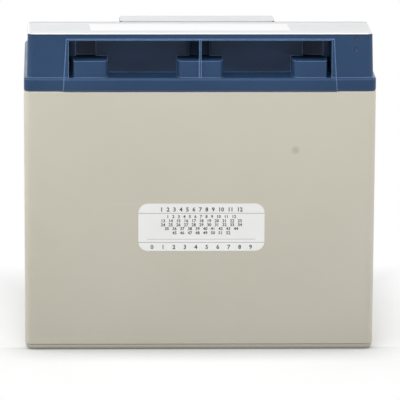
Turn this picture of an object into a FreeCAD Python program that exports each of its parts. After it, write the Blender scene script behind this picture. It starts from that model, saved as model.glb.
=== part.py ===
import FreeCAD, Part
import math
import os

# A 6 V sealed glass-mat battery of the golf-cart size: container, heat-sealed lid with a finger pocket,
# relief valves under a vent cover, and three cells of pasted plates joined by cast lead.
# Millimetres. Origin on the floor under the middle of the container, X along its length, +Z up,
# and the long side with the finger pocket faces -Y.

# Container
case_length = 260.0
case_depth = 180.0
case_height = 195.0
case_draft = 0.2
case_corner = 6.0
case_wall = 3.0
case_floor = 3.5
cell_count = 3
cell_corner = 2.5
partition = 2.5
rim_bevel = 0.7
foot_height = 4.5
foot_step = 0.5
foot_round = 3.2
plate_rest_height = 4.0
plate_rest_width = 2.5
plate_rest_pitch = 40.0
plate_rest_count = 4

# Lid
flange_height = 10.0
flange_bevel = 1.2
body_inset = 2.1
body_draft = 1.35
body_corner = 5.0
lid_wall = 3.0
deck_rise = 6.0
deck_bevel = 1.5
bank_rise = 33.2
bank_depth = 57.0
bank_round = 2.0
panel_proud = 0.8
panel_bottom_length = 202.0
panel_top_length = 197.4
panel_top_drop = 4.5

# Finger pocket and its keys
pocket_length = 193.8
pocket_depth = 25.5
pocket_ceiling = 5.6
pocket_corner = 2.5
pocket_web = 1.6
key_height = 12.4
key_setback = 1.2
key_corner = 5.0
key_outer_corner = 1.5
end_key_length = 25.4
end_key_gap = 3.4
middle_key_length = 33.7
column_length = 15.0
column_shift = 3.4
column_depth = 6.0

# Vent housing, cover and relief valves
vent_length = 116.4
vent_depth = 24.0
vent_centre_y = 5.0
vent_corner = 3.0
vent_ledge_rise = 11.0
vent_top_rise = 24.0
cover_wall = 2.0
cover_top = 2.8
cover_clearance = 0.2
cover_bevel = 0.8
housing_wall = 2.6
valve_end_gap = 0.4
chimney_radius = 4.2
chimney_bore = 2.0
chimney_height = 11.0
cap_wall = 1.4
cap_top = 1.6
cap_skirt = 7.5
cap_clearance = 0.05
cap_lift = 0.8
stop_rib_width = 3.0
vent_slot_width = 4.0
vent_slot_height = 1.6

# Terminals
terminal_end_distance = 25.0
terminal_side_distance = 32.0
post_radius = 8.0
post_clearance = 0.25
post_rise = 6.0
block_width = 31.0
block_corner = 3.0
block_rise = 2.5
well_width = 24.0
well_depth = 3.0
insert_radius = 6.0
insert_length = 18.0
insert_bore = 3.4
insert_bore_depth = 16.0

# Plates, mats and cast lead
positive_count = 9
positive_thickness = 2.6
negative_thickness = 1.9
plate_end_gap = 4.3
plate_height = 146.0
mat_margin = 4.0
stack_clearance = 0.3
lug_width = 14.0
lug_height = 15.0
lug_bite = 5.0
strap_width = 20.0
strap_height = 8.0
strap_overhang = 3.0
strap_bevel = 1.5
tombstone_thickness = 4.0
tombstone_height = 17.0
tombstone_bevel = 5.0
weld_radius = 5.0
bar_width = 14.0
bar_height = 8.0
bar_gap = 6.0

# Labels
label_thickness = 0.2
case_label_length = 93.6
case_label_height = 35.8
case_label_corner = 7.2
case_label_x = 1.3
case_label_z = 93.0
top_label_margin = 0.3
cover_label_end_margin = 0.2
cover_label_side_margin = 2.6

# How far joined solids run into each other, and cutters run past a face
overlap = 1.0

# Levels and faces that follow from the sizes above
V = FreeCAD.Vector
half_depth = case_depth / 2
case_slope = math.tan(math.radians(case_draft))
body_slope = math.tan(math.radians(body_draft))
flange_top = case_height + flange_height
deck_top = flange_top + deck_rise
deck_under = deck_top - lid_wall
bank_top = flange_top + bank_rise
bank_front = -half_depth + body_inset
bank_middle = bank_front + bank_depth / 2
deck_depth = half_depth - body_inset - bank_middle
deck_middle = bank_middle + deck_depth / 2
pocket_top = bank_top - pocket_ceiling
pocket_back = bank_front - panel_proud + pocket_depth
key_top = flange_top + key_height
end_key_x = (pocket_length - end_key_length) / 2 - end_key_gap
end_column_x = end_key_x + column_shift
ledge_top = deck_top + vent_ledge_rise
cover_top_z = deck_top + vent_top_rise
cover_under = cover_top_z - cover_top
chimney_top = deck_top + chimney_height
cap_radius = chimney_radius + cap_clearance + cap_wall
cap_top_z = chimney_top + cap_clearance + cap_top
vent_well_length = vent_length - 2 * (cover_wall + cover_clearance + housing_wall)
vent_well_depth = vent_depth - 2 * (cover_wall + cover_clearance + housing_wall)
valve_pitch = (vent_well_length - 2 * cap_radius - 2 * valve_end_gap) / (cell_count - 1)
terminal_x = case_length / 2 - terminal_end_distance
lug_y = half_depth - terminal_side_distance
post_top = deck_top + post_rise
block_top = deck_top + block_rise
cell_length = (case_length - 2 * case_wall - (cell_count - 1) * partition) / cell_count
cell_depth = case_depth - 2 * case_wall
cell_pitch = cell_length + partition
cell_shrink = (case_height - case_floor) * case_slope
plate_width = cell_depth - 2 * cell_shrink - 2 * plate_end_gap
plate_rest_top = case_floor + plate_rest_height
stack_length = cell_length - 2 * cell_shrink - 2 * stack_clearance
plates_thickness = positive_count * positive_thickness + (positive_count + 1) * negative_thickness
mat_thickness = (stack_length - plates_thickness) / (2 * positive_count)
plate_bottom = plate_rest_top + mat_thickness
plate_top = plate_bottom + plate_height
strap_bottom = plate_top + lug_height - lug_bite
strap_top = strap_bottom + strap_height
weld_z = strap_top + tombstone_height - tombstone_bevel - weld_radius
bar_bottom = strap_top + bar_gap
bar_top = bar_bottom + bar_height


# General shapes

def rounded_outline(length, depth, corner, x, y, z):
    """Closed rectangle with round corners, flat at height z."""
    a = length / 2 - corner
    b = depth / 2 - corner
    edges = []
    for quarter, (cx, cy) in enumerate([(a, b), (-a, b), (-a, -b), (a, -b)]):
        start = math.pi / 2 * quarter
        points = []
        for step in (0, 1, 2):
            angle = start + math.pi / 4 * step
            points.append(V(x + cx + corner * math.cos(angle), y + cy + corner * math.sin(angle), z))
        edges.append(Part.Arc(*points).toShape())
    sides = []
    for index, edge in enumerate(edges):
        following = edges[(index + 1) % 4]
        sides.append(edge)
        sides.append(Part.makeLine(edge.Vertexes[-1].Point, following.Vertexes[0].Point))
    return Part.Wire(sides)


def tapered_box(length, depth, z0, z1, slope, y=0.0, x=0.0):
    """Upright box that measures length by depth at z0 and leans in by slope towards z1."""
    lean = (z1 - z0) * slope
    a = length / 2
    b = depth / 2
    block = Part.makeWedge(-a, z0, -b, lean - b, lean - a, a, z1, b, b - lean, a - lean)
    block.rotate(V(0, 0, 0), V(1, 0, 0), 90)
    block.translate(V(x, y, 0))
    return block


def drafted_block(length, depth, corner, z0, z1, slope, y=0.0, x=0.0):
    """The same with round corners."""
    block = tapered_box(length, depth, z0, z1, slope, y, x)
    corners = [e for e in block.Edges if e.BoundBox.ZLength > (z1 - z0) / 2]
    return block.makeFillet(corner, corners)


def straight_block(length, depth, corner, z0, z1, y=0.0, x=0.0):
    outline = Part.Face(rounded_outline(length, depth, corner, x, y, z0))
    return outline.extrude(V(0, 0, z1 - z0))


def box(x0, x1, y0, y1, z0, z1):
    return Part.makeBox(x1 - x0, y1 - y0, z1 - z0, V(x0, y0, z0))


def cylinder(radius, z0, z1, x, y):
    return Part.makeCylinder(radius, z1 - z0, V(x, y, z0))


def level_edges(shape, z):
    """Every edge that lies flat at height z."""
    return [e for e in shape.Edges if abs(e.BoundBox.ZMin - z) < 1e-4 and abs(e.BoundBox.ZMax - z) < 1e-4]


def round_level_edges(shape, radius, z):
    return shape.makeFillet(radius, level_edges(shape, z))


def bevel_level_edges(shape, size, z):
    return shape.makeChamfer(size, level_edges(shape, z))


def upright_edges(shape, at_front):
    """The upright edges on a shape's front or back face."""
    face_y = shape.BoundBox.YMin if at_front else shape.BoundBox.YMax
    edges = []
    for edge in shape.Edges:
        bounds = edge.BoundBox
        upright = bounds.ZLength > 1 and bounds.XLength < 1e-4 and bounds.YLength < 1e-4
        if upright and abs(bounds.YMin - face_y) < 1e-4:
            edges.append(edge)
    return edges


def fused(shapes):
    result = shapes[0].fuse(shapes[1:])
    return result.removeSplitter()


def write(name, shape):
    shape.exportStep("parts/" + name + ".step")


# Where the cells and their lead lie

def cell_x(cell):
    return (cell - (cell_count - 1) / 2) * cell_pitch


def partition_x(wall):
    return cell_x(wall) + cell_pitch / 2


def partition_half(z):
    """Half the thickness of a partition at height z, where its draft has thickened it."""
    return partition / 2 + (case_height - z) * case_slope


def case_front(z):
    return -half_depth + (case_height - z) * case_slope


def positive_side(cell):
    """Cells alternate, so that each positive strap faces the next cell's negative strap."""
    return -lug_y if cell % 2 == 0 else lug_y


def stack_places(cell):
    """Where each negative and each positive plate of a cell starts along X."""
    start = cell_x(cell) - stack_length / 2
    pitch = negative_thickness + positive_thickness + 2 * mat_thickness
    negatives = [start + pitch * i for i in range(positive_count + 1)]
    positives = [n + negative_thickness + mat_thickness for n in negatives[:-1]]
    return negatives, positives


# Container

def make_case():
    """Drafted container with a stepped foot, open cells, partitions and plate rests."""
    foot_top = case_height - foot_height
    length_at_foot = case_length - 2 * foot_top * case_slope
    depth_at_foot = case_depth - 2 * foot_top * case_slope
    lean = -case_slope
    shell = drafted_block(length_at_foot, depth_at_foot, case_corner, foot_height, case_height, lean)
    shell = bevel_level_edges(shell, rim_bevel, case_height)
    foot = straight_block(length_at_foot - 2 * foot_step, depth_at_foot - 2 * foot_step,
                          case_corner - foot_step, 0, foot_height)
    foot = round_level_edges(foot, foot_round, 0)
    shell = fused([shell, foot])
    for cell in range(cell_count):
        shell = shell.cut(make_cell_space(cell))
    for wall in range(cell_count - 1):
        start = V(partition_x(wall) - 2 * partition, positive_side(wall), weld_z)
        shell = shell.cut(Part.makeCylinder(weld_radius, 4 * partition, start, V(1, 0, 0)))
    rests = []
    for cell in range(cell_count):
        rests += make_plate_rests(cell)
    return fused([shell] + rests)


def make_cell_space(cell):
    return drafted_block(cell_length - 2 * cell_shrink, cell_depth - 2 * cell_shrink, cell_corner,
                         case_floor, case_height, -case_slope, 0, cell_x(cell))


def make_plate_rests(cell):
    rests = []
    reach = cell_length / 2
    for index in range(plate_rest_count):
        y = (index - (plate_rest_count - 1) / 2) * plate_rest_pitch
        rests.append(box(cell_x(cell) - reach, cell_x(cell) + reach, y - plate_rest_width / 2,
                         y + plate_rest_width / 2, case_floor - overlap, plate_rest_top))
    return rests


# Lid

def make_lid():
    """Lid moulded in one piece, hollow from below, with one headspace over each cell."""
    lid = make_lid_outside()
    for space in make_headspaces():
        lid = lid.cut(space)
    lid = lid.cut(make_vent_well())
    lid = lid.fuse(make_chimneys())
    return lid.cut(make_lid_holes()).removeSplitter()


def body_length(z):
    return case_length - 2 * body_inset - 2 * (z - flange_top) * body_slope


def make_lid_outside():
    flange = straight_block(case_length, case_depth, case_corner, case_height, flange_top)
    flange = bevel_level_edges(flange, flange_bevel, flange_top)
    flange = bevel_level_edges(flange, rim_bevel, case_height)
    deck = drafted_block(body_length(flange_top), deck_depth, body_corner, flange_top - flange_bevel,
                         deck_top, body_slope, deck_middle)
    deck = bevel_level_edges(deck, deck_bevel, deck_top)
    bank = drafted_block(body_length(flange_top), bank_depth, body_corner, flange_top - flange_bevel,
                         bank_top, body_slope, bank_middle)
    bank = round_level_edges(bank, bank_round, bank_top)
    front = flange.fuse(bank)
    front.translate(V(0, -panel_proud, 0))
    panel = front.common(make_panel_outline())
    panel = panel.cut(make_pocket_space(0))
    body = bank.cut(make_pocket_space(0))
    raised = make_pocket_keys() + make_terminal_blocks() + [make_pocket_web(), make_vent_housing()]
    return fused([flange, deck, body, panel] + raised)


def make_panel_outline():
    """The panel's splayed outline, run through the front of the lid along Y."""
    low = panel_bottom_length / 2
    high = panel_top_length / 2
    top = bank_top - panel_top_drop
    y = -case_depth
    corners = [V(-low, y, case_height), V(low, y, case_height), V(high, y, top), V(-high, y, top)]
    outline = Part.Face(Part.makePolygon(corners + corners[:1]))
    return outline.extrude(V(0, case_depth + bank_middle, 0))


def make_pocket_space(wall):
    """The finger pocket and the columns behind its keys, grown on every inner side by wall."""
    half = pocket_length / 2 + wall
    space = box(-half, half, -case_depth, pocket_back + wall, flange_top - wall, pocket_top + wall)
    space = space.makeFillet(pocket_corner, upright_edges(space, False))
    columns = []
    for x in (-end_column_x, 0, end_column_x):
        reach = column_length / 2 + wall
        columns.append(box(x - reach, x + reach, bank_front, pocket_back + column_depth + wall,
                           key_top - wall, pocket_top + wall))
    return fused([space] + columns)


def make_pocket_web():
    """Thin upright web that carries the middle of the bank over the pocket."""
    return box(-pocket_web / 2, pocket_web / 2, bank_front - panel_proud, pocket_back + overlap,
               flange_top - overlap, pocket_top + overlap)


def make_pocket_keys():
    """Raised blocks on the pocket's floor, with round front corners."""
    keys = []
    front = bank_front - panel_proud + key_setback
    for x, length in ((-end_key_x, end_key_length), (0, middle_key_length), (end_key_x, end_key_length)):
        key = box(x - length / 2, x + length / 2, front, pocket_back + overlap, flange_top - overlap, key_top)
        for edge in upright_edges(key, True):
            outer = abs(edge.BoundBox.XMin) > end_key_x
            key = round_edge_at(key, edge, key_outer_corner if outer else key_corner)
        keys.append(key)
    return keys


def round_edge_at(shape, edge, radius):
    """Round the one upright edge of a shape that stands where the given edge does."""
    place = edge.BoundBox
    match = [e for e in shape.Edges if abs(e.BoundBox.XMin - place.XMin) < 1e-4
             and abs(e.BoundBox.YMin - place.YMin) < 1e-4 and e.BoundBox.XLength < 1e-4
             and e.BoundBox.YLength < 1e-4]
    return shape.makeFillet(radius, match)


def make_vent_housing():
    foot = straight_block(vent_length, vent_depth, vent_corner, deck_under, ledge_top, vent_centre_y)
    inset = 2 * (cover_wall + cover_clearance)
    upper = straight_block(vent_length - inset, vent_depth - inset, vent_corner - cover_wall,
                           ledge_top - overlap, cover_under, vent_centre_y)
    return foot.fuse(upper)


def make_vent_well():
    half = vent_well_length / 2
    reach = vent_well_depth / 2
    return box(-half, half, vent_centre_y - reach, vent_centre_y + reach, deck_top, cover_top_z)


def make_chimneys():
    return [cylinder(chimney_radius, deck_top - overlap, chimney_top, valve_x(cell), vent_centre_y)
            for cell in range(cell_count)]


def valve_x(cell):
    return (cell - (cell_count - 1) / 2) * valve_pitch


def make_terminal_blocks():
    return [straight_block(block_width, block_width, block_corner, deck_under, block_top, lug_y, x)
            for x in (-terminal_x, terminal_x)]


def make_lid_holes():
    """Vent bores, and a post hole with its square potting well for each terminal."""
    holes = []
    for cell in range(cell_count):
        holes.append(cylinder(chimney_bore, deck_under - overlap, chimney_top + overlap,
                              valve_x(cell), vent_centre_y))
    for x in (-terminal_x, terminal_x):
        holes.append(cylinder(post_radius + post_clearance, deck_under - overlap, block_top, x, lug_y))
        holes.append(well_box(x))
    return holes


def well_box(x):
    half = well_width / 2
    return box(x - half, x + half, lug_y - half, lug_y + half, block_top - well_depth, block_top)


def make_headspaces():
    """Space under the lid over each cell: under the deck, and up into the bank behind the pocket."""
    length = body_length(flange_top) - 2 * lid_wall
    low = tapered_box(length, deck_depth - 2 * lid_wall, case_height - overlap, deck_under, body_slope,
                      deck_middle)
    high = tapered_box(length, bank_depth - 2 * lid_wall, case_height - overlap, bank_top - lid_wall,
                       body_slope, bank_middle)
    room = low.fuse(high)
    room = room.cut(make_pocket_space(lid_wall))
    spaces = []
    for cell in range(cell_count):
        reach = cell_length / 2
        slab = box(cell_x(cell) - reach, cell_x(cell) + reach, -half_depth, half_depth, case_height - overlap,
                   bank_top)
        spaces.append(room.common(slab))
    return spaces


# Vent cover and valves

def make_vent_cover():
    """Tray pressed over the vent housing, with a stop rib over the valves and a gas slot at each end."""
    tray = straight_block(vent_length, vent_depth, vent_corner, ledge_top, cover_top_z, vent_centre_y)
    tray = bevel_level_edges(tray, cover_bevel, cover_top_z)
    inside = straight_block(vent_length - 2 * cover_wall, vent_depth - 2 * cover_wall,
                            vent_corner - cover_wall + cover_clearance, ledge_top, cover_under, vent_centre_y)
    tray = tray.cut(inside)
    reach = vent_well_length / 2 - cover_clearance
    rib = box(-reach, reach, vent_centre_y - stop_rib_width / 2, vent_centre_y + stop_rib_width / 2,
              cap_top_z + cap_lift + cap_clearance, cover_under + overlap)
    slot = box(-vent_length, vent_length, vent_centre_y - vent_slot_width / 2,
               vent_centre_y + vent_slot_width / 2, ledge_top, ledge_top + vent_slot_height)
    return fused([tray, rib]).cut(slot)


def make_valve_cap(cell):
    """Rubber cap over one chimney."""
    x = valve_x(cell)
    cap = cylinder(cap_radius, cap_top_z - cap_top - cap_skirt, cap_top_z, x, vent_centre_y)
    inside = cylinder(chimney_radius + cap_clearance, 0, chimney_top + cap_clearance, x, vent_centre_y)
    return cap.cut(inside)


# Plates and mats

def plate_outline(x, side):
    """A plate with its lug on one side, seen along X."""
    half = plate_width / 2
    left = side - lug_width / 2
    right = side + lug_width / 2
    lug_top = plate_top + lug_height
    corners = [V(x, -half, plate_bottom), V(x, half, plate_bottom), V(x, half, plate_top),
               V(x, right, plate_top), V(x, right, lug_top), V(x, left, lug_top),
               V(x, left, plate_top), V(x, -half, plate_top)]
    return Part.Face(Part.makePolygon(corners + corners[:1]))


def make_plates(places, thickness, side):
    return Part.makeCompound([plate_outline(x, side).extrude(V(thickness, 0, 0)) for x in places])


def make_separators(positives):
    """Glass mats folded under each positive plate and up both of its faces."""
    mats = []
    half = plate_width / 2
    top = plate_top + mat_margin
    for x in positives:
        outside = x - mat_thickness
        inside = x + positive_thickness
        corners = [V(outside, -half, plate_rest_top), V(inside + mat_thickness, -half, plate_rest_top),
                   V(inside + mat_thickness, -half, top), V(inside, -half, top),
                   V(inside, -half, plate_bottom), V(x, -half, plate_bottom), V(x, -half, top),
                   V(outside, -half, top)]
        fold = Part.Face(Part.makePolygon(corners + corners[:1]))
        mats.append(fold.extrude(V(0, plate_width, 0)))
    return Part.makeCompound(mats)


# Cast lead

def make_strap(cell, places, thickness, side, welded_walls):
    """Strap cast over one row of lugs, with an upright tombstone at each partition it is welded through."""
    x0 = places[0] - strap_overhang
    x1 = places[-1] + thickness + strap_overhang
    low = cell_x(cell) - cell_length / 2 + stack_clearance
    high = cell_x(cell) + cell_length / 2 - stack_clearance
    x0 = max(x0, low)
    x1 = min(x1, high)
    strap = box(x0, x1, side - strap_width / 2, side + strap_width / 2, strap_bottom, strap_top)
    strap = bevel_level_edges(strap, strap_bevel, strap_top)
    pieces = [strap]
    for wall in welded_walls:
        pieces += make_tombstone(cell, wall, side)
    strap = fused(pieces)
    lugs = make_plates(places, thickness, side)
    return strap.cut(lugs)


def make_tombstone(cell, wall, side):
    """Upright flat against the partition, with bevelled shoulders, and the foot that joins its strap."""
    toward = 1 if partition_x(wall) > cell_x(cell) else -1
    face = partition_x(wall) - toward * weld_face_offset()
    back = face - toward * tombstone_thickness
    x0 = min(face, back)
    half = strap_width / 2
    stem = box(x0, x0 + tombstone_thickness, side - half, side + half, strap_bottom,
               strap_top + tombstone_height)
    shoulders = [e for e in level_edges(stem, strap_top + tombstone_height) if e.BoundBox.XLength > half / 4]
    stem = stem.makeChamfer(tombstone_bevel, shoulders)
    foot_end = face - toward * (tombstone_thickness + cell_shrink + stack_clearance + strap_overhang)
    foot = box(min(face, foot_end), max(face, foot_end), side - half, side + half,
               strap_bottom, strap_top - strap_bevel)
    return [stem, foot]


def weld_face_offset():
    return partition_half(strap_bottom)


def make_intercell_welds():
    """Lead squeezed through each partition between two tombstones."""
    offset = weld_face_offset()
    welds = []
    for wall in range(cell_count - 1):
        start = V(partition_x(wall) - offset, positive_side(wall), weld_z)
        welds.append(Part.makeCylinder(weld_radius, 2 * offset, start, V(1, 0, 0)))
    return Part.makeCompound(welds)


def make_crossover_bar():
    """Bar from the last positive strap over to the terminal side, clear above the negative strap."""
    x = terminal_x - bar_width / 2
    half = strap_width / 2
    low = -lug_y - half
    foot = -lug_y + half
    end = lug_y + half
    corners = [V(x, low, strap_top), V(x, foot, strap_top), V(x, foot, bar_bottom), V(x, end, bar_bottom),
               V(x, end, bar_top), V(x, low, bar_top)]
    bar = Part.Face(Part.makePolygon(corners + corners[:1])).extrude(V(bar_width, 0, 0))
    return bevel_level_edges(bar, strap_bevel, bar_top)


def make_posts():
    """The two terminal posts: one stands on its strap, the other on the crossover bar."""
    posts = []
    for x, bottom in ((-terminal_x, strap_top), (terminal_x, bar_top)):
        post = cylinder(post_radius, bottom, post_top, x, lug_y)
        posts.append(post.cut(cylinder(insert_radius, post_top - insert_length, post_top, x, lug_y)))
    return Part.makeCompound(posts)


def make_inserts():
    """Threaded bushes, with the bores' inner walls plain."""
    inserts = []
    for x in (-terminal_x, terminal_x):
        bush = cylinder(insert_radius, post_top - insert_length, post_top, x, lug_y)
        inserts.append(bush.cut(cylinder(insert_bore, post_top - insert_bore_depth, post_top, x, lug_y)))
    return Part.makeCompound(inserts)


def make_potting(x):
    """Coloured resin that fills the well round a post."""
    return well_box(x).cut(cylinder(post_radius, 0, bank_top, x, lug_y))


# Labels

def make_case_label():
    """Round-cornered label that leans with the container's front wall."""
    outline = Part.Face(rounded_outline(case_label_length, case_label_height, case_label_corner, 0, 0, 0))
    label = outline.extrude(V(0, 0, label_thickness))
    label.rotate(V(0, 0, 0), V(1, 0, 0), 90 + case_draft)
    label.translate(V(case_label_x, case_front(case_label_z), case_label_z))
    return label


def make_top_label():
    margin = 2 * (top_label_margin + (bank_top - flange_top) * body_slope + bank_round)
    return label_plate(body_length(flange_top) - margin, bank_depth - margin, bank_middle, bank_top)


def make_cover_label():
    length = vent_length - 2 * (cover_label_end_margin + cover_bevel)
    depth = vent_depth - 2 * cover_label_side_margin
    return label_plate(length, depth, vent_centre_y, cover_top_z)


def label_plate(length, depth, y, z):
    return box(-length / 2, length / 2, y - depth / 2, y + depth / 2, z, z + label_thickness)


# Assembly

def write_cell(cell):
    name = str(cell + 1)
    negatives, positives = stack_places(cell)
    side = positive_side(cell)
    walls_after = [cell] if cell < cell_count - 1 else []
    walls_before = [cell - 1] if cell > 0 else []
    write("positive_plates_" + name, make_plates(positives, positive_thickness, side))
    write("negative_plates_" + name, make_plates(negatives, negative_thickness, -side))
    write("separators_" + name, make_separators(positives))
    write("positive_strap_" + name, make_strap(cell, positives, positive_thickness, side, walls_after))
    write("negative_strap_" + name, make_strap(cell, negatives, negative_thickness, -side, walls_before))
    write("valve_cap_" + name, make_valve_cap(cell))


os.makedirs("parts", exist_ok=True)
write("case", make_case())
write("lid", make_lid())
write("vent_cover", make_vent_cover())
for cell in range(cell_count):
    write_cell(cell)
write("intercell_welds", make_intercell_welds())
write("crossover_bar", make_crossover_bar())
write("terminal_posts", make_posts())
write("terminal_inserts", make_inserts())
write("negative_potting", make_potting(-terminal_x))
write("positive_potting", make_potting(terminal_x))
write("case_label", make_case_label())
write("top_label", make_top_label())
write("vent_cover_label", make_cover_label())
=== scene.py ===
import math

import bpy
from mathutils import Matrix, Vector


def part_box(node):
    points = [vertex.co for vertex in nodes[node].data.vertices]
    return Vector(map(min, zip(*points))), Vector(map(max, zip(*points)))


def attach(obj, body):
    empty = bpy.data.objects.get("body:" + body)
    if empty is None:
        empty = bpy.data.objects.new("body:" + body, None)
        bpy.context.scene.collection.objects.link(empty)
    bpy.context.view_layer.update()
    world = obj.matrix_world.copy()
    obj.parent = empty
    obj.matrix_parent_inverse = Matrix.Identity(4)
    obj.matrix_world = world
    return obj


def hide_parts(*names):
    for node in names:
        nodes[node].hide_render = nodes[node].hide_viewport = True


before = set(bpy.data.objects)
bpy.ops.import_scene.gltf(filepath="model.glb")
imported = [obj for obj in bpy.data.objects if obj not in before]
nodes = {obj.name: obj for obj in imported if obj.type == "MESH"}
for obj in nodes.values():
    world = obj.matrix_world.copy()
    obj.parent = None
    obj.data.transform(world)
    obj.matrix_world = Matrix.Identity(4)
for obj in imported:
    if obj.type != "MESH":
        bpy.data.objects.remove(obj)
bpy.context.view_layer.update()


# Container. One injection moulding in beige-grey polypropylene, drafted to leave its mould, with a stepped
# foot under it and the fine grain of the eroded mould on its walls. The gate leaves a soft round mark.

def pick(piece):
    """Leaves only this piece selected and active."""
    bpy.ops.object.select_all(action="DESELECT")
    piece.select_set(True)
    bpy.context.view_layer.objects.active = piece


def eased_moulding(solid, name, ease):
    """A moulding with the solid's shape, its facets merged and its edges eased as the mould leaves them."""
    piece = bpy.data.objects.new(name, nodes[solid].data.copy())
    bpy.context.scene.collection.objects.link(piece)
    pick(piece)
    bpy.ops.object.mode_set(mode="EDIT")
    bpy.ops.mesh.select_all(action="SELECT")
    bpy.ops.mesh.remove_doubles(threshold=0.000002)
    bpy.ops.mesh.dissolve_limited(angle_limit=math.radians(0.4))
    bpy.ops.object.mode_set(mode="OBJECT")
    edges = piece.modifiers.new("eased edges", "BEVEL")
    edges.width = ease
    edges.segments = 2
    edges.limit_method = "ANGLE"
    edges.angle_limit = math.radians(28)
    bpy.ops.object.modifier_apply(modifier=edges.name)
    bpy.ops.object.shade_smooth_by_angle(angle=math.radians(32))
    piece.data.materials.clear()
    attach(piece, "battery")
    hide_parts(solid)
    return piece


def tint(code):
    """Scene-linear colour from a six-figure screen colour."""
    parts = [int(code[i:i + 2], 16) / 255 for i in (0, 2, 4)]
    return tuple(c / 12.92 if c <= 0.04045 else ((c + 0.055) / 1.055) ** 2.4 for c in parts) + (1.0,)


def node(tree, kind, feeds=None, **settings):
    """One shader node, each of its inputs given as a value or as the socket that feeds it."""
    made = tree.nodes.new(kind)
    for key, value in settings.items():
        setattr(made, key, value)
    for key, value in (feeds or {}).items():
        if isinstance(value, bpy.types.NodeSocket):
            tree.links.new(value, made.inputs[key])
        else:
            made.inputs[key].default_value = value
    return made


def object_place(tree):
    """The point being shaded, in the frame that the CAD and every piece share."""
    return node(tree, "ShaderNodeTexCoord").outputs["Object"]


def worked(tree, operation, *values):
    """One step of arithmetic on numbers or sockets."""
    return node(tree, "ShaderNodeMath", dict(enumerate(values)), operation=operation).outputs[0]


def between(tree, value, low, high, at_low, at_high):
    """A value carried from one range to another, held at its ends."""
    return node(tree, "ShaderNodeMapRange", {0: value, 1: low, 2: high, 3: at_low, 4: at_high}).outputs[0]


def noise(tree, place, scale, detail, **more):
    """Smooth random values from 0 to 1."""
    feeds = {"Vector": place, "Scale": scale, "Detail": detail, **more}
    return node(tree, "ShaderNodeTexNoise", feeds).outputs[0]


def effect(name, takes, gives):
    """An empty effect group with its named inputs and outputs."""
    group = bpy.data.node_groups.new(name, "ShaderNodeTree")
    for label, value in takes.items():
        socket = group.interface.new_socket(label, in_out="INPUT", socket_type="NodeSocketFloat")
        socket.default_value = value
    for label in gives:
        group.interface.new_socket(label, in_out="OUTPUT", socket_type="NodeSocketFloat")
    return group, group.nodes.new("NodeGroupInput").outputs, group.nodes.new("NodeGroupOutput").inputs


# Grain of an eroded mould: a fine height, and a slow change of tone where the melt cooled unevenly
mould_grain, takes, gives = effect("mould grain", {"Fineness": 1800.0, "Flow": 9.0}, ["Height", "Tone"])
place = object_place(mould_grain)
mould_grain.links.new(noise(mould_grain, place, takes["Fineness"], 3.0), gives["Height"])
mould_grain.links.new(noise(mould_grain, place, takes["Flow"], 4.0, Distortion=0.6), gives["Tone"])

# Edges where the surface turns sharply, broken up in patches: wear from handling on the lead, brass, rubber
# and films, and a painted highlight along the rounded edges of the lid and, mixed with wear, of the container
edge_wear_and_highlight, takes, gives = effect("edge wear and highlight", {"Radius": 0.0008, "Amount": 1.0}, ["Mask"])
flat = node(edge_wear_and_highlight, "ShaderNodeNewGeometry").outputs["Normal"]
turned = node(edge_wear_and_highlight, "ShaderNodeBevel", {"Radius": takes["Radius"]}, samples=6).outputs[0]
agree = node(edge_wear_and_highlight, "ShaderNodeVectorMath", {0: flat, 1: turned},
             operation="DOT_PRODUCT").outputs["Value"]
sharp = between(edge_wear_and_highlight, agree, 0.996, 0.82, 0.0, 1.0)
broken = noise(edge_wear_and_highlight, object_place(edge_wear_and_highlight), 260.0, 5.0)
broken_up = between(edge_wear_and_highlight, broken, 0.30, 0.65, 0.70, 1.0)
both = worked(edge_wear_and_highlight, "MULTIPLY", sharp, broken_up)
edge_wear_and_highlight.links.new(worked(edge_wear_and_highlight, "MULTIPLY", both, takes["Amount"]), gives["Mask"])

# Scuffs: thin shallow strokes from sliding in and out of a tray
scuffs, takes, gives = effect("scuffs", {"Spread": 40.0, "Amount": 1.0}, ["Mask"])
drawn = node(scuffs, "ShaderNodeMapping", {"Vector": object_place(scuffs), "Rotation": (0.2, 0.35, 0.1),
                                           "Scale": (0.12, 1.0, 3.2)}).outputs[0]
strokes = noise(scuffs, drawn, takes["Spread"], 8.0, Roughness=0.7)
thin = between(scuffs, strokes, 0.60, 0.72, 0.0, 1.0)
scuffs.links.new(worked(scuffs, "MULTIPLY", thin, takes["Amount"]), gives["Mask"])


def finish_of(name):
    """A new material, its shader and its node tree."""
    material = bpy.data.materials.new(name)
    material.use_nodes = True
    tree = material.node_tree
    return material, tree, tree.nodes["Principled BSDF"]


def part_of(tree, group, **amounts):
    """Places an effect group in a material with its own values."""
    made = tree.nodes.new("ShaderNodeGroup")
    made.node_tree = group
    for label, value in amounts.items():
        made.inputs[label].default_value = value
    return made.outputs


def blended(tree, share, below, above):
    """The colour below with the colour above laid over it by a share."""
    return node(tree, "ShaderNodeMix", {0: share, 6: below, 7: above}, data_type="RGBA").outputs[2]


def mottled(tree, share, dark, light):
    """Two tones of one colour, in patches that follow a noise."""
    return blended(tree, between(tree, share, 0.35, 0.65, 0.0, 1.0), dark, light)


def finished(tree, shader, colour, roughness):
    """Feeds a shader its colour and its roughness."""
    tree.links.new(colour, shader.inputs["Base Color"])
    tree.links.new(roughness, shader.inputs["Roughness"])


def raised(tree, shader, height, depth, strength):
    """Lets a height roughen a shader's surface."""
    bump = node(tree, "ShaderNodeBump", {"Height": height, "Distance": depth, "Strength": strength})
    tree.links.new(bump.outputs[0], shader.inputs["Normal"])


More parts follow.
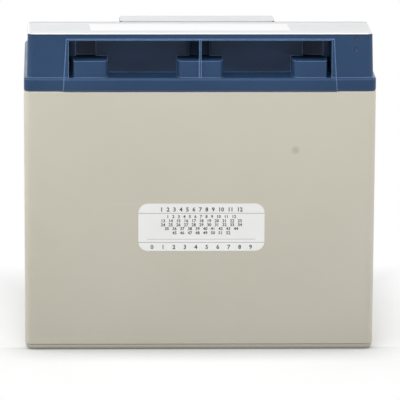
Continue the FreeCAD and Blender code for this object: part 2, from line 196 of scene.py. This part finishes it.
beige = tint("CAC6B8")
beige_deep = tint("C6C2B3")
beige_scuff_and_edge_highlight = tint("E4DACA")
gate_mark = (0.0706, -0.0899, 0.151)
foot_step_z = 0.0043
container_plastic, tree, shader = finish_of("container polypropylene")
grain = part_of(tree, mould_grain, Fineness=1700.0, Flow=7.0)
edges = part_of(tree, edge_wear_and_highlight, Radius=0.0012, Amount=0.55)
marks = part_of(tree, scuffs, Spread=36.0, Amount=0.12)
place = object_place(tree)
away = node(tree, "ShaderNodeVectorMath", {0: place, 1: gate_mark}, operation="DISTANCE").outputs["Value"]
blush = between(tree, away, 0.0012, 0.0038, 0.40, 0.0)
height_above_floor = node(tree, "ShaderNodeSeparateXYZ", {0: place}).outputs["Z"]
on_foot = between(tree, height_above_floor, 0.0042, 0.0047, 1.0, 0.0)
# The foot below the step is coloured darker towards the bottom
darkened_foot = worked(tree, "MULTIPLY", between(tree, height_above_floor, 0.0, 0.0044, 0.42, 0.24), on_foot)
# A thin dark line along the foot's step: painted shade in its groove
from_step = worked(tree, "ABSOLUTE", worked(tree, "SUBTRACT", height_above_floor, foot_step_z))
step_shade_line = between(tree, from_step, 0.0002, 0.0008, 0.30, 0.0)
colour = mottled(tree, grain["Tone"], beige_deep, beige)
# Sharp edges lightened: a painted highlight along the rounded edges, mixed with wear; the scuffs below take
# the same colour as real wear
colour = blended(tree, edges["Mask"], colour, beige_scuff_and_edge_highlight)
colour = blended(tree, marks["Mask"], colour, beige_scuff_and_edge_highlight)
colour = blended(tree, darkened_foot, colour, tint("7E796B"))
colour = blended(tree, step_shade_line, colour, tint("6E6A5E"))
colour = blended(tree, blush, colour, tint("8F8B80"))
finished(tree, shader, colour, between(tree, grain["Tone"], 0.3, 0.7, 0.50, 0.40))
raised(tree, shader, grain["Height"], 0.00004, 0.35)

container = eased_moulding("case", "container", 0.00035)
container.data.materials.append(container_plastic)


# Plates. Each cell holds nine positive and ten negative plates: lead grids filled with paste and cured, the
# positives brown with lead dioxide and the negatives grey with spongy lead.

def paste(name, light, dark, roughness):
    """Cured paste pressed over a grid, whose bars still show as a faint lattice."""
    material, tree, shader = finish_of(name)
    place = object_place(tree)
    crumbs = noise(tree, place, 900.0, 6.0)
    axes = node(tree, "ShaderNodeSeparateXYZ", {0: place}).outputs
    to_bar = worked(tree, "MINIMUM", worked(tree, "PINGPONG", axes["Y"], 0.009),
                    worked(tree, "PINGPONG", axes["Z"], 0.006))
    bars = between(tree, to_bar, 0.0003, 0.0009, 0.35, 0.0)
    colour = mottled(tree, crumbs, dark, light)
    colour = blended(tree, bars, colour, tint("7C7E80"))
    finished(tree, shader, colour, between(tree, crumbs, 0.3, 0.7, roughness, roughness - 0.12))
    raised(tree, shader, crumbs, 0.0001, 0.5)
    return material


def finish_node(name, material):
    """Gives a solid that stays as it is its finish."""
    nodes[name].data.materials.clear()
    nodes[name].data.materials.append(material)


positive_paste = paste("positive paste", tint("6A4A3A"), tint("4A3127"), 0.85)
negative_paste = paste("negative paste", tint("83868A"), tint("686B70"), 0.75)
for cell in ("1", "2", "3"):
    finish_node("positive_plates_" + cell, positive_paste)
    finish_node("negative_plates_" + cell, negative_paste)


# Mats. White glass-fibre felt, folded under each positive plate and up both of its faces, soaked with acid
# and squeezed between the plates so that the cell stays tight.
glass_mat, tree, shader = finish_of("glass mat")
place = object_place(tree)
lie = node(tree, "ShaderNodeMapping", {"Vector": place, "Scale": (1.0, 0.3, 1.0)}).outputs[0]
fibres = noise(tree, lie, 2600.0, 8.0, Distortion=1.5)
colour = mottled(tree, noise(tree, place, 120.0, 3.0), tint("E3E4DE"), tint("F2F2EE"))
finished(tree, shader, colour, between(tree, fibres, 0.3, 0.7, 0.95, 0.80))
raised(tree, shader, fibres, 0.0002, 0.6)
for cell in ("1", "2", "3"):
    finish_node("separators_" + cell, glass_mat)


# Lead work. Straps cast over the plates' lugs, the uprights welded through the partitions, the bar over the
# last cell and the two posts: soft lead with a dull grey skin, brighter where it is rubbed.
cast_lead, tree, shader = finish_of("cast lead")
place = object_place(tree)
edges = part_of(tree, edge_wear_and_highlight, Radius=0.0010, Amount=1.0)
skin = noise(tree, place, 75.0, 9.0, Distortion=0.8)
pits = node(tree, "ShaderNodeTexVoronoi", {"Vector": place, "Scale": 520.0}).outputs["Distance"]
colour = mottled(tree, skin, tint("74777B"), tint("989CA0"))
colour = blended(tree, edges["Mask"], colour, tint("BFC2C5"))
finished(tree, shader, colour, between(tree, skin, 0.3, 0.7, 0.62, 0.45))
shader.inputs["Metallic"].default_value = 0.85
raised(tree, shader, pits, 0.00015, 0.35)
for name in ("intercell_welds", "crossover_bar", "terminal_posts"):
    finish_node(name, cast_lead)
for cell in ("1", "2", "3"):
    finish_node("positive_strap_" + cell, cast_lead)
    finish_node("negative_strap_" + cell, cast_lead)


# Terminal bushes. Brass turned on a lathe and cast into the top of each post, tapped for an M8 bolt. The
# thread is cut through the plain bore: 1.25 mm pitch, flanks at 60 degrees, with a lead-in at the mouth.
brass, tree, shader = finish_of("turned brass")
place = object_place(tree)
squeezed = node(tree, "ShaderNodeMapping", {"Vector": place, "Scale": (0.05, 0.05, 1.0)}).outputs[0]
rings = noise(tree, squeezed, 4000.0, 2.0)
stain = noise(tree, place, 300.0, 6.0)
edges = part_of(tree, edge_wear_and_highlight, Radius=0.0004, Amount=0.8)
colour = blended(tree, between(tree, stain, 0.4, 0.7, 0.0, 1.0), tint("C9A24E"), tint("A07A33"))
colour = blended(tree, edges["Mask"], colour, tint("E6C97E"))
finished(tree, shader, colour, between(tree, stain, 0.3, 0.7, 0.24, 0.42))
shader.inputs["Metallic"].default_value = 1.0
raised(tree, shader, rings, 0.00003, 0.3)

bush_low, bush_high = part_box("terminal_inserts")
bush_radius = 0.0060
bush_bore = 0.0034
bush_depth = 0.016
mouth_bevel = 0.0006
thread_outer = 0.0040
thread_pitch = 0.00125
bush_places = [(-0.105, 0.058), (0.105, 0.058)]


def threaded_bush(x, y):
    """A bush bored blind from its top, with a helical groove cut in the bore and a bevelled mouth."""
    top = bush_high.z
    length = top - bush_low.z
    bpy.ops.object.select_all(action="DESELECT")
    bpy.ops.mesh.primitive_cylinder_add(vertices=48, radius=bush_radius, depth=length,
                                        location=(x, y, top - length / 2))
    bush = bpy.context.active_object
    bpy.ops.object.transform_apply(location=True, rotation=True, scale=True)
    bpy.ops.object.mode_set(mode="EDIT")
    bpy.ops.mesh.select_all(action="DESELECT")
    bpy.ops.object.mode_set(mode="OBJECT")
    for face in bush.data.polygons:
        face.select = face.normal.z > 0.9
    bpy.ops.object.mode_set(mode="EDIT")
    bpy.ops.mesh.inset(thickness=bush_radius - bush_bore - mouth_bevel, depth=0)
    bpy.ops.mesh.inset(thickness=mouth_bevel, depth=-mouth_bevel)
    bpy.ops.mesh.extrude_region_move(TRANSFORM_OT_translate={"value": (0, 0, mouth_bevel - bush_depth)})
    bpy.ops.object.mode_set(mode="OBJECT")
    profile = bpy.data.meshes.new("thread profile")
    start = top - bush_depth + 0.0008
    half = thread_pitch * 0.44
    profile.from_pydata([(bush_bore - 0.0003, 0, start - half), (thread_outer, 0, start),
                         (bush_bore - 0.0003, 0, start + half)], [(0, 1), (1, 2), (2, 0)], [])
    tap = bpy.data.objects.new("thread groove", profile)
    bpy.context.scene.collection.objects.link(tap)
    pick(tap)
    turns = tap.modifiers.new("turns", "SCREW")
    turns.screw_offset = thread_pitch
    turns.iterations = 12
    turns.steps = 32
    turns.render_steps = 32
    bpy.ops.object.modifier_apply(modifier=turns.name)
    bpy.ops.object.mode_set(mode="EDIT")
    bpy.ops.mesh.select_all(action="DESELECT")
    bpy.ops.mesh.select_non_manifold()
    bpy.ops.mesh.edge_face_add()
    bpy.ops.mesh.select_all(action="SELECT")
    bpy.ops.mesh.normals_make_consistent(inside=False)
    bpy.ops.object.mode_set(mode="OBJECT")
    tap.location = (x, y, 0)
    bpy.ops.object.transform_apply(location=True, rotation=True, scale=True)
    pick(bush)
    cut = bush.modifiers.new("thread", "BOOLEAN")
    cut.object = tap
    cut.operation = "DIFFERENCE"
    cut.solver = "EXACT"
    bpy.ops.object.modifier_apply(modifier=cut.name)
    bpy.data.objects.remove(tap)
    bpy.ops.object.shade_smooth_by_angle(angle=math.radians(30))
    return bush


for name, (x, y) in zip(("negative_bush", "positive_bush"), bush_places):
    bush = threaded_bush(x, y)
    bush.name = name
    bush.data.materials.clear()
    bush.data.materials.append(brass)
    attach(bush, "battery")
    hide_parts("terminal_inserts")


# Lid. One navy moulding in glossier polypropylene, welded to the container with a hot plate: a flange, the
# raised bank with its finger pocket and the splayed front panel, the low deck, and collars for the posts.
navy = tint("2B4566")
navy_deep = tint("263F5F")
navy_edge_highlight = tint("82A8DA")
lid_plastic, tree, shader = finish_of("lid polypropylene")
grain = part_of(tree, mould_grain, Fineness=2600.0, Flow=14.0)
edges = part_of(tree, edge_wear_and_highlight, Radius=0.0010, Amount=1.0)
marks = part_of(tree, scuffs, Spread=55.0, Amount=0.25)
colour = mottled(tree, grain["Tone"], navy_deep, navy)
colour = blended(tree, marks["Mask"], colour, tint("3C5A8C"))
# The lid's sharp edges are lightened to pale blue: a painted highlight along their rounding
colour = blended(tree, edges["Mask"], colour, navy_edge_highlight)
finished(tree, shader, colour, between(tree, grain["Tone"], 0.3, 0.7, 0.36, 0.27))
shader.inputs["Specular IOR Level"].default_value = 0.26
shader.inputs["Coat Roughness"].default_value = 0.10
tree.links.new(edges["Mask"], shader.inputs["Coat Weight"])
raised(tree, shader, grain["Height"], 0.00002, 0.25)

lid = eased_moulding("lid", "lid_moulding", 0.00035)
lid.data.materials.append(lid_plastic)


# Ejector pin marks. Two shallow round witnesses that the mould's pins leave at the right end of the bank,
# one above the other, each a dished disc with a raised rim.

pin_x = 0.1150
pin_radius = 0.0016
bank_foot_y = -0.0879
bank_foot_z = 0.205
bank_draft = math.tan(math.radians(1.35))


def pin_mark(x, z, radius):
    """A low disc on the bank's front, with a rounded rim and a dished middle."""
    face_y = bank_foot_y + (z - bank_foot_z) * bank_draft
    bpy.ops.object.select_all(action="DESELECT")
    bpy.ops.mesh.primitive_cylinder_add(vertices=32, radius=radius, depth=0.0003, location=(x, face_y, z),
                                        rotation=(math.radians(90), 0, 0))
    mark = bpy.context.active_object
    bpy.ops.object.transform_apply(location=True, rotation=True, scale=True)
    bpy.ops.object.mode_set(mode="EDIT")
    bpy.ops.mesh.select_all(action="DESELECT")
    bpy.ops.object.mode_set(mode="OBJECT")
    for face in mark.data.polygons:
        face.select = face.normal.y < -0.9
    bpy.ops.object.mode_set(mode="EDIT")
    bpy.ops.mesh.inset(thickness=radius * 0.16, depth=0.0)
    bpy.ops.mesh.inset(thickness=radius * 0.22, depth=-0.00030)
    bpy.ops.mesh.inset(thickness=radius * 0.30, depth=0.00004)
    bpy.ops.object.mode_set(mode="OBJECT")
    rim = mark.modifiers.new("rim", "BEVEL")
    rim.width = 0.00006
    rim.segments = 2
    bpy.ops.object.modifier_apply(modifier=rim.name)
    bpy.ops.object.shade_smooth_by_angle(angle=math.radians(50))
    return mark


# The marks are coloured darker than the lid: painted shade in their dished middles, with a glossy finish for
# their glints
pin_gloss_and_shade, tree, shader = finish_of("pin witness")
grain = part_of(tree, mould_grain, Fineness=2600.0, Flow=60.0)
colour = mottled(tree, grain["Tone"], tint("16202F"), tint("22324C"))
finished(tree, shader, colour, between(tree, grain["Tone"], 0.3, 0.7, 0.16, 0.10))
raised(tree, shader, grain["Height"], 0.00001, 0.2)
for name, z in (("pin_mark_high", 0.2346), ("pin_mark_low", 0.2262)):
    mark = pin_mark(pin_x, z, pin_radius)
    mark.name = name
    mark.data.materials.append(pin_gloss_and_shade)
    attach(mark, "battery")


# Polarity signs. A plus and a minus moulded with the lid, standing proud of its deck beside each terminal.

deck_z = 0.2109
sign_y = 0.058
sign_size = 0.0075
sign_height = 0.0007
square = sign_size / 3


def moulded_sign(name, x, kept):
    """Raised strokes made of the kept squares of a three by three grid, with rounded edges."""
    bpy.ops.object.select_all(action="DESELECT")
    bpy.ops.mesh.primitive_grid_add(x_subdivisions=3, y_subdivisions=3, size=sign_size,
                                    location=(x, sign_y, deck_z))
    sign = bpy.context.active_object
    bpy.ops.object.transform_apply(location=True, rotation=True, scale=True)
    bpy.ops.object.mode_set(mode="EDIT")
    bpy.ops.mesh.select_mode(type="FACE")
    bpy.ops.mesh.select_all(action="DESELECT")
    bpy.ops.object.mode_set(mode="OBJECT")
    for face in sign.data.polygons:
        column = round((face.center.x - x) / square)
        row = round((face.center.y - sign_y) / square)
        face.select = (column, row) not in kept
    bpy.ops.object.mode_set(mode="EDIT")
    bpy.ops.mesh.delete(type="FACE")
    bpy.ops.mesh.select_mode(type="VERT")
    bpy.ops.mesh.select_all(action="SELECT")
    bpy.ops.mesh.extrude_region_move(TRANSFORM_OT_translate={"value": (0, 0, sign_height)})
    bpy.ops.mesh.select_all(action="DESELECT")
    bpy.ops.mesh.select_non_manifold()
    bpy.ops.mesh.edge_face_add()
    bpy.ops.mesh.select_all(action="SELECT")
    bpy.ops.mesh.dissolve_limited(angle_limit=math.radians(1))
    bpy.ops.mesh.select_all(action="SELECT")
    bpy.ops.mesh.normals_make_consistent(inside=False)
    bpy.ops.object.mode_set(mode="OBJECT")
    edges = sign.modifiers.new("rounded edges", "BEVEL")
    edges.width = 0.0002
    edges.segments = 2
    bpy.ops.object.modifier_apply(modifier=edges.name)
    bpy.ops.object.shade_smooth_by_angle(angle=math.radians(40))
    sign.name = name
    sign.data.materials.append(lid_plastic)
    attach(sign, "battery")


minus_squares = {(-1, 0), (0, 0), (1, 0)}
plus_squares = minus_squares | {(0, -1), (0, 1)}
moulded_sign("minus_sign", -0.082, minus_squares)
moulded_sign("plus_sign", 0.082, plus_squares)


# Potting. Resin poured into the square well round each post, which seals it: black at the negative post and
# red at the positive. It has set level, glossy, with a few fine bubbles.

def resin(name, colour, deep):
    """Poured resin, set level and glossy over fine bubbles."""
    material, tree, shader = finish_of(name)
    place = object_place(tree)
    cloud = noise(tree, place, 160.0, 4.0)
    bubbles = node(tree, "ShaderNodeTexVoronoi", {"Vector": place, "Scale": 420.0}).outputs["Distance"]
    finished(tree, shader, mottled(tree, cloud, deep, colour), between(tree, cloud, 0.3, 0.7, 0.14, 0.26))
    raised(tree, shader, between(tree, bubbles, 0.05, 0.16, 0.0, 1.0), 0.0001, 0.5)
    return material


finish_node("negative_potting", resin("black resin", tint("232325"), tint("161618")))
finish_node("positive_potting", resin("red resin", tint("B3211C"), tint("8C1512")))


# Relief valves. A rubber cap is stretched over each vent chimney and lifts a little to let gas out. Moulded
# black rubber with a dusting of talc.
rubber, tree, shader = finish_of("valve rubber")
talc = noise(tree, object_place(tree), 350.0, 7.0)
edges = part_of(tree, edge_wear_and_highlight, Radius=0.0005, Amount=0.5)
colour = blended(tree, between(tree, talc, 0.45, 0.75, 0.0, 0.6), tint("262627"), tint("55554F"))
colour = blended(tree, edges["Mask"], colour, tint("4A4A48"))
finished(tree, shader, colour, between(tree, talc, 0.3, 0.7, 0.60, 0.85))
raised(tree, shader, talc, 0.00006, 0.3)
for cell in ("1", "2", "3"):
    finish_node("valve_cap_" + cell, rubber)


# Vent cover. A navy tray from the same plastic as the lid, pressed over the vent housing.
cover = eased_moulding("vent_cover", "vent_cover_moulding", 0.0003)
cover.data.materials.append(lid_plastic)


# Labels. Plastic film with a satin varnish, stuck to the container, the bank and the vent cover. The small
# white one carries ruled lines to write on and plain figures; the light grey ones a plain white field.

def panel(tree, across, up, x, z, half_width, half_height, soft):
    """1 inside an upright rectangle, 0 outside, with a soft border."""
    sides = []
    for value, middle, half in ((across, x, half_width), (up, z, half_height)):
        off = worked(tree, "ABSOLUTE", worked(tree, "SUBTRACT", value, middle))
        sides.append(between(tree, off, half - soft, half + soft, 1.0, 0.0))
    return worked(tree, "MULTIPLY", *sides)


def film(name, light, dull, roughness):
    """Printed film: its ground colour, faint unevenness, and a varnish with slight ripples."""
    material, tree, shader = finish_of(name)
    place = object_place(tree)
    uneven = noise(tree, place, 22.0, 3.0)
    edges = part_of(tree, edge_wear_and_highlight, Radius=0.0006, Amount=0.25)
    colour = blended(tree, edges["Mask"], mottled(tree, uneven, dull, light), tint("B9B7AE"))
    tree.links.new(between(tree, uneven, 0.3, 0.7, roughness, roughness - 0.08), shader.inputs["Roughness"])
    raised(tree, shader, noise(tree, place, 90.0, 2.0), 0.00004, 0.25)
    return material, tree, shader, place, colour


label_low, label_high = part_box("case_label")
label_x = (label_low.x + label_high.x) / 2
label_z = (label_low.z + label_high.z) / 2
ink = tint("5C5E62")
rule_high = 0.01055
rule_low = -0.0114
writing_line = -0.0090
white_film, tree, shader, place, colour = film("white label film", tint("F2F2F1"), tint("EDEDEC"), 0.45)
axes = node(tree, "ShaderNodeSeparateXYZ", {0: place}).outputs
for z, half, share in ((rule_high, 0.047, 0.8), (rule_low, 0.047, 0.8), (writing_line, 0.040, 0.6)):
    line = panel(tree, axes["X"], axes["Z"], label_x, label_z + z, half, 0.00017, 0.00006)
    colour = blended(tree, between(tree, line, 0.0, 1.0, 0.0, share), colour, ink)
tree.links.new(colour, shader.inputs["Base Color"])
finish_node("case_label", white_film)

figure_ink, tree, shader = finish_of("label ink")
patchy = noise(tree, object_place(tree), 1500.0, 3.0)
colour = blended(tree, patchy, tint("28292C"), tint("404246"))
finished(tree, shader, colour, between(tree, patchy, 0.3, 0.7, 0.5, 0.62))


def printed_figures(name, first, last, z, height, gap, weight):
    """A row of plain figures, as ink a fiftieth of a millimetre thick on the small label."""
    lean = math.radians(0.2)
    bpy.ops.object.select_all(action="DESELECT")
    bpy.ops.object.text_add(rotation=(math.radians(90) + lean, 0, 0))
    row = bpy.context.active_object
    row.data.body = " ".join(str(figure) for figure in range(first, last + 1))
    row.data.size = height
    row.data.align_x = "CENTER"
    row.data.align_y = "CENTER"
    row.data.space_word = gap
    row.data.offset = weight
    row.data.extrude = 0.00001
    row.data.resolution_u = 2
    bpy.ops.object.convert(target="MESH")
    row = bpy.context.active_object
    face_y = label_low.y + (label_high.z - label_z - z) * math.tan(lean)
    row.location = (label_x, face_y - 0.00001, label_z + z)
    bpy.ops.object.transform_apply(location=True, rotation=True, scale=True)
    row.name = name
    row.data.materials.clear()
    row.data.materials.append(figure_ink)
    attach(row, "battery")


week_rows = ((1, 12, 0.0080), (13, 23, 0.0048), (24, 34, 0.0018), (35, 44, -0.0011), (45, 52, -0.0043))
printed_figures("label_months", 1, 12, 0.0133, 0.0043, 2.2, 0.00012)
for row, (first, last, z) in enumerate(week_rows, start=1):
    printed_figures(f"label_weeks_{row}", first, last, z, 0.0032, 2.8, 0.00009)
printed_figures("label_years", 0, 9, -0.0150, 0.0043, 5.0, 0.00012)


def wrapped_film(name, flat_x, back_y, front_y, under, corner, radius, lowest):
    """A round-cornered film that lies on a flat top and is smoothed down over its rounded edge."""
    steps = [math.radians(lowest * share) for share in (1.0, 0.75, 0.5, 0.25, 0.0)]
    out = radius * math.sin(steps[0])
    down = radius * (1 - math.cos(steps[0]))
    bpy.ops.object.select_all(action="DESELECT")
    bpy.ops.mesh.primitive_plane_add(size=1.0, location=(0, (back_y + front_y) / 2, under - down))
    sheet = bpy.context.active_object
    sheet.scale = (2 * (flat_x + out), back_y - front_y + 2 * out, 1.0)
    bpy.ops.object.transform_apply(location=True, rotation=True, scale=True)
    bpy.ops.object.mode_set(mode="EDIT")
    bpy.ops.mesh.select_all(action="SELECT")
    bpy.ops.mesh.bevel(offset=corner, segments=6, affect="VERTICES")
    bpy.ops.mesh.select_all(action="SELECT")
    for lower, upper in zip(steps, steps[1:]):
        bpy.ops.mesh.inset(thickness=radius * (math.sin(lower) - math.sin(upper)),
                           depth=radius * (math.cos(upper) - math.cos(lower)))
    bpy.ops.object.mode_set(mode="OBJECT")
    body = sheet.modifiers.new("thickness", "SOLIDIFY")
    body.thickness = film_thickness
    body.offset = 1.0
    bpy.ops.object.modifier_apply(modifier=body.name)
    bpy.ops.object.shade_smooth_by_angle(angle=math.radians(40))
    sheet.name = name
    sheet.data.materials.append(grey_film)
    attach(sheet, "battery")
    return sheet


film_thickness = 0.00013
film_gap = 0.00003
bank_low, bank_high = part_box("top_label")
bank_flat_x = bank_high.x + 0.0003
bank_back_y = bank_high.y - 0.0022
bank_front_y = bank_low.y - 0.0011
cover_low, cover_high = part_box("vent_cover_label")
film_border = 0.0008
field_x = -0.0074
field_y = -0.0605
field_half_length = 0.0736
field_half_width = 0.0155
field_slant = 0.035
grey_film, tree, shader, place, colour = film("grey label film", tint("D9DADB"), tint("D4D5D6"), 0.40)
axes = node(tree, "ShaderNodeSeparateXYZ", {0: place}).outputs
back_off = worked(tree, "SUBTRACT", axes["Y"], field_y)
along = worked(tree, "ADD", axes["X"], worked(tree, "MULTIPLY", back_off, field_slant))
on_bank = panel(tree, axes["X"], axes["Y"], 0.0, (bank_back_y + bank_front_y) / 2,
                bank_flat_x + film_border, (bank_back_y - bank_front_y) / 2 + film_border, 0.0002)
on_cover = between(tree, axes["Y"], bank_high.y + 0.002, bank_high.y + 0.003, 0.0, 1.0)
# Where the film bends down over the bank's rounded edge it is coloured near white: a painted highlight along
# that edge
colour = blended(tree, worked(tree, "MAXIMUM", on_bank, on_cover), tint("F4F4F3"), colour)
field = panel(tree, along, axes["Y"], field_x, field_y, field_half_length, field_half_width, 0.0001)
colour = blended(tree, field, colour, tint("EEEEEE"))
tree.links.new(colour, shader.inputs["Base Color"])
bank_film = wrapped_film("bank_label_film", bank_flat_x, bank_back_y, bank_front_y, bank_low.z + film_gap,
                         corner=0.0048, radius=0.00205, lowest=57)
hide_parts("top_label")
cover_film = wrapped_film("cover_label_film", cover_high.x - 0.0001, cover_high.y + 0.0016,
                          cover_low.y - 0.0016, cover_low.z + film_gap,
                          corner=0.0030, radius=0.00085, lowest=90)
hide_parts("vent_cover_label")


# Studio. A plain white floor that runs past the picture on every side, soft lamps all round, and a long lens
# on the container's pocket side, a little above it and a little to its left.

def background_rays(tree):
    """1 where the background is seen directly, mirrored or through something clear, and 0 where it lights."""
    rays = node(tree, "ShaderNodeLightPath").outputs
    seen = worked(tree, "MAXIMUM", rays["Is Camera Ray"], rays["Is Glossy Ray"])
    return worked(tree, "MAXIMUM", seen, rays["Is Transmission Ray"])


floor_white, tree, shader = finish_of("studio floor")
tree.nodes.remove(shader)
out = tree.nodes["Material Output"]
axes = node(tree, "ShaderNodeSeparateXYZ", {0: object_place(tree)}).outputs
far_x, far_y = (between(tree, worked(tree, "ABSOLUTE", axes[axis]), half + start, half + end, 0.0, 1.0)
                for axis, half, start, end in (("X", 0.130, 0.002, 0.045), ("Y", 0.090, 0.030, 0.130)))
fade = worked(tree, "MAXIMUM", far_x, far_y)
# Painted contact shadow: in front of the battery the floor is darkened towards black where ambient occlusion
# finds the battery close
contact_shade = node(tree, "ShaderNodeAmbientOcclusion", {"Distance": 0.045}, samples=8).outputs["AO"]
contact_shade = between(tree, contact_shade, 0.45, 1.0, 0.66, 1.0)
contact_shade = worked(tree, "MAXIMUM", contact_shade, between(tree, axes["Y"], -0.088, -0.080, 0.0, 1.0))
looked_at = background_rays(tree)
shaded = node(tree, "ShaderNodeBsdfDiffuse", {"Color": (0.62, 0.62, 0.62, 1.0)}).outputs[0]
glow = node(tree, "ShaderNodeEmission", {"Color": (1, 1, 1, 1), "Strength": 0.30}).outputs[0]
white = node(tree, "ShaderNodeEmission", {"Color": (1, 1, 1, 1), "Strength": 1.0}).outputs[0]
dark = node(tree, "ShaderNodeEmission", {"Color": (0, 0, 0, 1), "Strength": 0.0}).outputs[0]
near = node(tree, "ShaderNodeAddShader", {0: shaded, 1: glow}).outputs[0]
near = node(tree, "ShaderNodeMixShader", {0: contact_shade, 1: dark, 2: near}).outputs[0]
seen = node(tree, "ShaderNodeMixShader", {0: fade, 1: near, 2: white}).outputs[0]
bounced = node(tree, "ShaderNodeBsdfDiffuse", {"Color": (0.50, 0.50, 0.50, 1.0)}).outputs[0]
mixed = node(tree, "ShaderNodeMixShader", {0: looked_at, 1: bounced, 2: seen}).outputs[0]
tree.links.new(mixed, out.inputs["Surface"])

bpy.ops.object.select_all(action="DESELECT")
bpy.ops.mesh.primitive_plane_add(size=60.0, location=(0, 0, 0))
floor = bpy.context.active_object
floor.name = "studio_floor"
floor.data.materials.append(floor_white)

world = bpy.data.worlds.new("studio air")
bpy.context.scene.world = world
world.use_nodes = True
tree = world.node_tree
air = tree.nodes["Background"]
air.inputs["Color"].default_value = (1.0, 1.0, 1.0, 1.0)
air.inputs["Strength"].default_value = 0.06
clear = node(tree, "ShaderNodeBackground", {"Color": (1.0, 1.0, 1.0, 1.0), "Strength": 1.0})
mixed = node(tree, "ShaderNodeMixShader", {0: background_rays(tree), 1: air.outputs[0], 2: clear.outputs[0]})
tree.links.new(mixed.outputs[0], tree.nodes["World Output"].inputs["Surface"])

lamp_aim = Vector((0, 0, 0.12))


def softbox(name, place, width, height, watts, mirrored=True):
    """A rectangular soft lamp turned to the battery, and hidden from its gloss unless it is mirrored."""
    bpy.ops.object.light_add(type="AREA", location=place)
    lamp = bpy.context.active_object
    lamp.name = name
    lamp.rotation_euler = (lamp_aim - Vector(place)).to_track_quat("-Z", "Y").to_euler()
    lamp.data.shape = "RECTANGLE"
    lamp.data.size = width
    lamp.data.size_y = height
    lamp.data.energy = watts
    lamp.visible_glossy = mirrored


softbox("lamp_high", (-0.25, -1.35, 1.80), 1.6, 0.6, 27.0)
softbox("lamp_top", (0.0, 0.1, 2.2), 1.6, 1.0, 3.0)
softbox("lamp_left", (-2.0, -1.2, 0.9), 0.9, 1.2, 19.0, False)
softbox("lamp_right", (2.0, -1.2, 0.9), 0.9, 1.2, 21.0, False)
softbox("lamp_left_end", (-1.8, 0.2, 0.9), 0.9, 1.2, 14.0, False)
softbox("lamp_right_end", (1.8, 0.2, 0.9), 0.9, 1.2, 10.0, False)
softbox("lamp_back", (0.0, 2.3, 1.3), 1.8, 1.0, 15.0, False)

camera_place = (-0.1099, -3.590, 0.7919)
camera_turn = -1.801
camera_dip = 10.962
camera_roll = 0.269
focal_pixels = 4820.0
picture_pixels = 400
film_width = 36.0
view = bpy.context.scene.view_settings
view.view_transform = "Standard"
turned = (Matrix.Rotation(math.radians(camera_turn), 4, "Z")
          @ Matrix.Rotation(math.radians(90 - camera_dip), 4, "X")
          @ Matrix.Rotation(math.radians(camera_roll), 4, "Z"))
bpy.ops.object.camera_add(location=camera_place, rotation=turned.to_euler())
camera = bpy.context.active_object
camera.data.sensor_width = film_width
camera.data.lens = focal_pixels / picture_pixels * film_width
camera.data.clip_end = 100.0
bpy.context.scene.camera = camera
